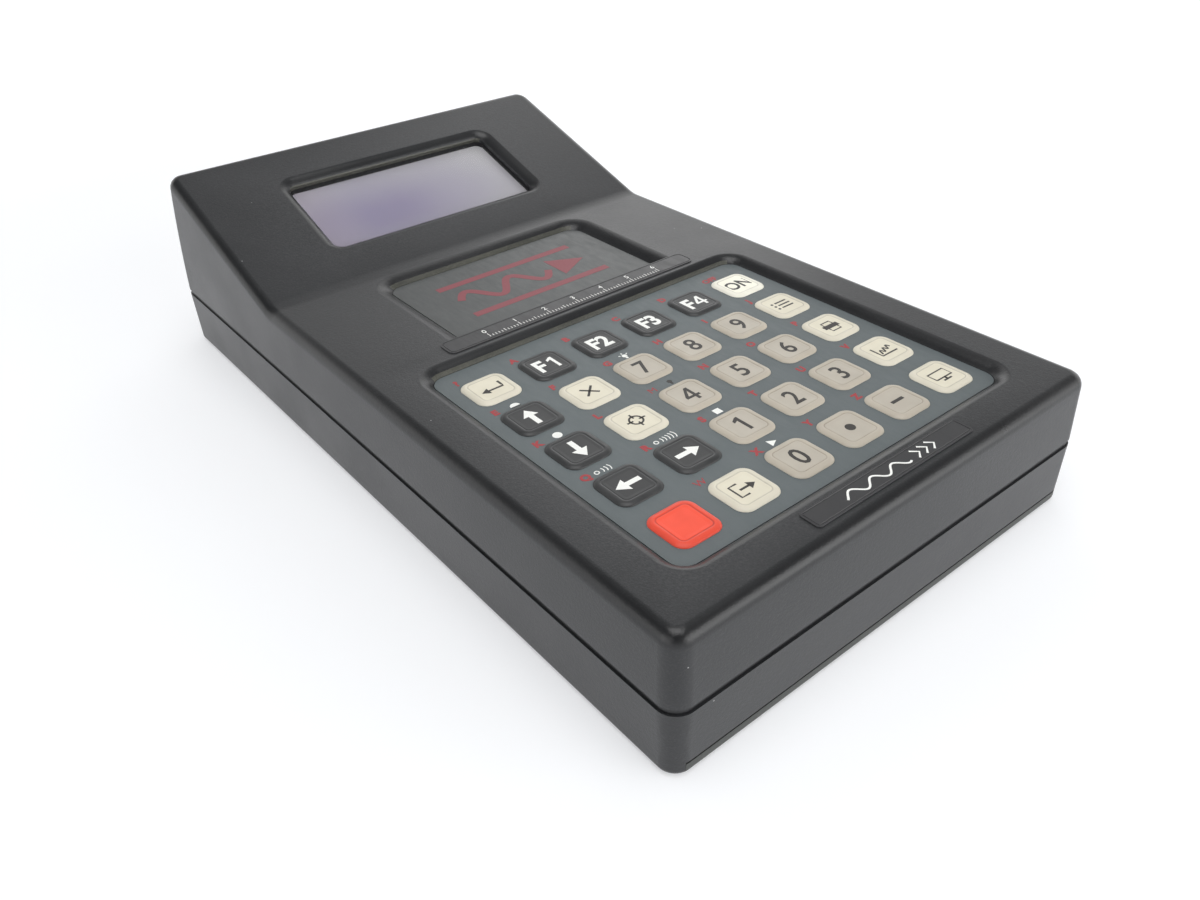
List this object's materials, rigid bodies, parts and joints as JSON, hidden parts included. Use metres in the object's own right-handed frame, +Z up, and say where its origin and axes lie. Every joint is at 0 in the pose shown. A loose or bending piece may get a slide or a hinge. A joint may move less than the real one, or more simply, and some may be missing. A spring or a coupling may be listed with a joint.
{
  "type": "ultrasonic flow meter",
  "caption": "Hand-held ultrasonic flow meter: long box with a sloped display head, a recessed keypad, a sliding battery door and sockets on the back end.",
  "frame": {"origin": "centre of the case's bottom, on the surface that it lies on", "axes": "+Y runs along the case towards the display end, +X to the right of a person at the keypad, +Z up"},
  "size_m": [0.138, 0.242, 0.0591],
  "materials": {
    "case_plastic": "satin",
    "door_plastic": "satin",
    "seal_rubber": "matte",
    "window_plastic": "gloss",
    "display_glass": "gloss",
    "steel_sheet": "satin",
    "board_laminate": "gloss",
    "ribbon_film": "gloss",
    "panel_grey": "satin",
    "spacer_film": "satin",
    "label_plastic": "satin",
    "strip_plastic": "satin",
    "screw_steel": "satin",
    "black_plastic": "satin",
    "battery_sleeve": "gloss",
    "brass": "satin",
    "socket_metal": "satin",
    "key_cream": "satin",
    "key_bright": "satin",
    "key_tan": "satin",
    "key_black": "satin",
    "key_red": "satin"
  },
  "bodies": {
    "case": {"upper_shell": "case_plastic", "lower_shell": "case_plastic", "case_seal": "seal_rubber", "display_window": "window_plastic", "window_gasket": "seal_rubber", "display_bezel": "steel_sheet", "display_glass": "display_glass", "display_board": "board_laminate", "display_ribbon": "ribbon_film", "keypad_overlay": "panel_grey", "keypad_spacer": "spacer_film", "keypad_circuit": "board_laminate", "keypad_tail": "ribbon_film", "name_panel": "label_plastic", "upper_strip": "strip_plastic", "front_strip": "strip_plastic", "main_board": "board_laminate", "shield_can": "steel_sheet", "board_screws": "screw_steel", "sounder": "black_plastic", "battery_pack": "battery_sleeve", "battery_contacts": "brass", "case_screws": "screw_steel", "threaded_inserts": "brass", "upstream_socket": "socket_metal", "downstream_socket": "socket_metal", "io_socket": "socket_metal", "serial_port": "steel_sheet", "power_jack": "black_plastic"},
    "door": {"battery_door": "door_plastic"},
    "key_enter": {"key_enter": "key_cream"},
    "key_f1": {"key_f1": "key_black"},
    "key_f2": {"key_f2": "key_black"},
    "key_f3": {"key_f3": "key_black"},
    "key_f4": {"key_f4": "key_black"},
    "key_on": {"key_on": "key_bright"},
    "key_up": {"key_up": "key_black"},
    "key_clear": {"key_clear": "key_cream"},
    "key_7": {"key_7": "key_tan"},
    "key_8": {"key_8": "key_tan"},
    "key_9": {"key_9": "key_tan"},
    "key_program": {"key_program": "key_cream"},
    "key_down": {"key_down": "key_black"},
    "key_calibrate": {"key_calibrate": "key_cream"},
    "key_4": {"key_4": "key_tan"},
    "key_5": {"key_5": "key_tan"},
    "key_6": {"key_6": "key_tan"},
    "key_print": {"key_print": "key_cream"},
    "key_left": {"key_left": "key_black"},
    "key_right": {"key_right": "key_black"},
    "key_1": {"key_1": "key_tan"},
    "key_2": {"key_2": "key_tan"},
    "key_3": {"key_3": "key_tan"},
    "key_log": {"key_log": "key_cream"},
    "key_red": {"key_red": "key_red"},
    "key_exit": {"key_exit": "key_cream"},
    "key_0": {"key_0": "key_tan"},
    "key_dot": {"key_dot": "key_tan"},
    "key_minus": {"key_minus": "key_tan"},
    "key_display": {"key_display": "key_cream"}
  },
  "joints": [
    {"name": "battery_door_slide", "type": "slide", "parent": "case", "child": "door", "axis": [0, -1, 0], "range_m": [0, 0.092]},
    {"name": "key_enter_press", "type": "slide", "parent": "case", "child": "key_enter", "axis": [0, 0, -1], "range_m": [0, 0.0005], "stiffness_N_per_m": 1500},
    {"name": "key_f1_press", "type": "slide", "parent": "case", "child": "key_f1", "axis": [0, 0, -1], "range_m": [0, 0.0005], "stiffness_N_per_m": 1500},
    {"name": "key_f2_press", "type": "slide", "parent": "case", "child": "key_f2", "axis": [0, 0, -1], "range_m": [0, 0.0005], "stiffness_N_per_m": 1500},
    {"name": "key_f3_press", "type": "slide", "parent": "case", "child": "key_f3", "axis": [0, 0, -1], "range_m": [0, 0.0005], "stiffness_N_per_m": 1500},
    {"name": "key_f4_press", "type": "slide", "parent": "case", "child": "key_f4", "axis": [0, 0, -1], "range_m": [0, 0.0005], "stiffness_N_per_m": 1500},
    {"name": "key_on_press", "type": "slide", "parent": "case", "child": "key_on", "axis": [0, 0, -1], "range_m": [0, 0.0005], "stiffness_N_per_m": 1500},
    {"name": "key_up_press", "type": "slide", "parent": "case", "child": "key_up", "axis": [0, 0, -1], "range_m": [0, 0.0005], "stiffness_N_per_m": 1500},
    {"name": "key_clear_press", "type": "slide", "parent": "case", "child": "key_clear", "axis": [0, 0, -1], "range_m": [0, 0.0005], "stiffness_N_per_m": 1500},
    {"name": "key_7_press", "type": "slide", "parent": "case", "child": "key_7", "axis": [0, 0, -1], "range_m": [0, 0.0005], "stiffness_N_per_m": 1500},
    {"name": "key_8_press", "type": "slide", "parent": "case", "child": "key_8", "axis": [0, 0, -1], "range_m": [0, 0.0005], "stiffness_N_per_m": 1500},
    {"name": "key_9_press", "type": "slide", "parent": "case", "child": "key_9", "axis": [0, 0, -1], "range_m": [0, 0.0005], "stiffness_N_per_m": 1500},
    {"name": "key_program_press", "type": "slide", "parent": "case", "child": "key_program", "axis": [0, 0, -1], "range_m": [0, 0.0005], "stiffness_N_per_m": 1500},
    {"name": "key_down_press", "type": "slide", "parent": "case", "child": "key_down", "axis": [0, 0, -1], "range_m": [0, 0.0005], "stiffness_N_per_m": 1500},
    {"name": "key_calibrate_press", "type": "slide", "parent": "case", "child": "key_calibrate", "axis": [0, 0, -1], "range_m": [0, 0.0005], "stiffness_N_per_m": 1500},
    {"name": "key_4_press", "type": "slide", "parent": "case", "child": "key_4", "axis": [0, 0, -1], "range_m": [0, 0.0005], "stiffness_N_per_m": 1500},
    {"name": "key_5_press", "type": "slide", "parent": "case", "child": "key_5", "axis": [0, 0, -1], "range_m": [0, 0.0005], "stiffness_N_per_m": 1500},
    {"name": "key_6_press", "type": "slide", "parent": "case", "child": "key_6", "axis": [0, 0, -1], "range_m": [0, 0.0005], "stiffness_N_per_m": 1500},
    {"name": "key_print_press", "type": "slide", "parent": "case", "child": "key_print", "axis": [0, 0, -1], "range_m": [0, 0.0005], "stiffness_N_per_m": 1500},
    {"name": "key_left_press", "type": "slide", "parent": "case", "child": "key_left", "axis": [0, 0, -1], "range_m": [0, 0.0005], "stiffness_N_per_m": 1500},
    {"name": "key_right_press", "type": "slide", "parent": "case", "child": "key_right", "axis": [0, 0, -1], "range_m": [0, 0.0005], "stiffness_N_per_m": 1500},
    {"name": "key_1_press", "type": "slide", "parent": "case", "child": "key_1", "axis": [0, 0, -1], "range_m": [0, 0.0005], "stiffness_N_per_m": 1500},
    {"name": "key_2_press", "type": "slide", "parent": "case", "child": "key_2", "axis": [0, 0, -1], "range_m": [0, 0.0005], "stiffness_N_per_m": 1500},
    {"name": "key_3_press", "type": "slide", "parent": "case", "child": "key_3", "axis": [0, 0, -1], "range_m": [0, 0.0005], "stiffness_N_per_m": 1500},
    {"name": "key_log_press", "type": "slide", "parent": "case", "child": "key_log", "axis": [0, 0, -1], "range_m": [0, 0.0005], "stiffness_N_per_m": 1500},
    {"name": "key_red_press", "type": "slide", "parent": "case", "child": "key_red", "axis": [0, 0, -1], "range_m": [0, 0.0005], "stiffness_N_per_m": 1500},
    {"name": "key_exit_press", "type": "slide", "parent": "case", "child": "key_exit", "axis": [0, 0, -1], "range_m": [0, 0.0005], "stiffness_N_per_m": 1500},
    {"name": "key_0_press", "type": "slide", "parent": "case", "child": "key_0", "axis": [0, 0, -1], "range_m": [0, 0.0005], "stiffness_N_per_m": 1500},
    {"name": "key_dot_press", "type": "slide", "parent": "case", "child": "key_dot", "axis": [0, 0, -1], "range_m": [0, 0.0005], "stiffness_N_per_m": 1500},
    {"name": "key_minus_press", "type": "slide", "parent": "case", "child": "key_minus", "axis": [0, 0, -1], "range_m": [0, 0.0005], "stiffness_N_per_m": 1500},
    {"name": "key_display_press", "type": "slide", "parent": "case", "child": "key_display", "axis": [0, 0, -1], "range_m": [0, 0.0005], "stiffness_N_per_m": 1500}
  ]
}
